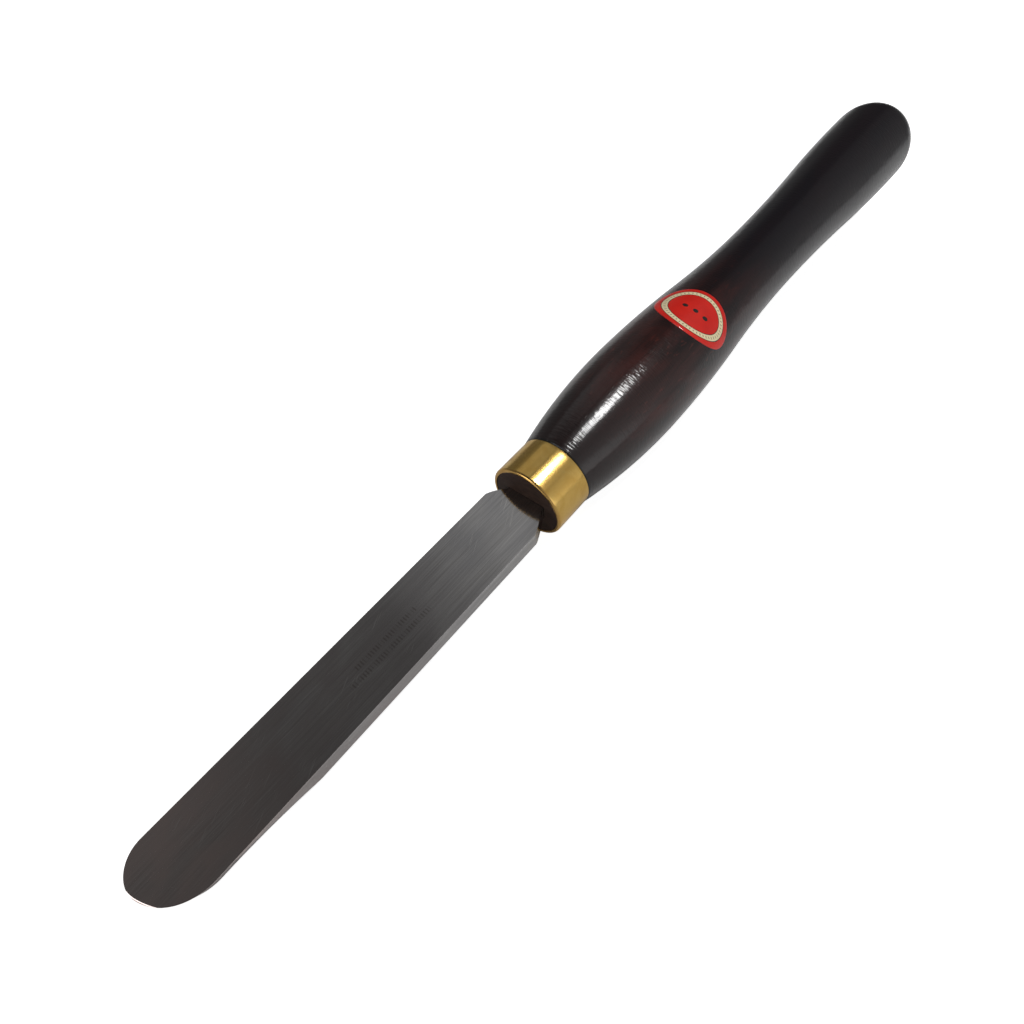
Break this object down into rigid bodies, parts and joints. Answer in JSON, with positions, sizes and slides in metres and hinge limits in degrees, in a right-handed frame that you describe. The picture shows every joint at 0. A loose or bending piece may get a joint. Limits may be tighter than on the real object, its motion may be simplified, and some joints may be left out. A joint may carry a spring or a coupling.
{
  "type": "woodturning scraper",
  "caption": "Flat steel bar scraper with a domed side-cutting nose, a tang held in a turned, lacquered wooden handle, a brass ferrule and an oval paper label.",
  "frame": {"origin": "middle of the ferrule, on the tool's axis", "axes": "+X along the tool towards the cutting nose, +Z out of the blade's flat top, +Y towards the side with the long ground edge"},
  "size_m": [0.4606, 0.0412, 0.0412],
  "materials": {
    "steel": "ground lengthwise to a dark satin",
    "brass": "polished with fine turning lines",
    "lacquered_wood": "very dark red-brown hardwood under gloss lacquer",
    "label_paper": "printed red with a cream ring, under lacquer"
  },
  "bodies": {
    "root": {"blade": "steel", "ferrule": "brass", "handle": "lacquered_wood", "label": "label_paper"}
  },
  "joints": []
}
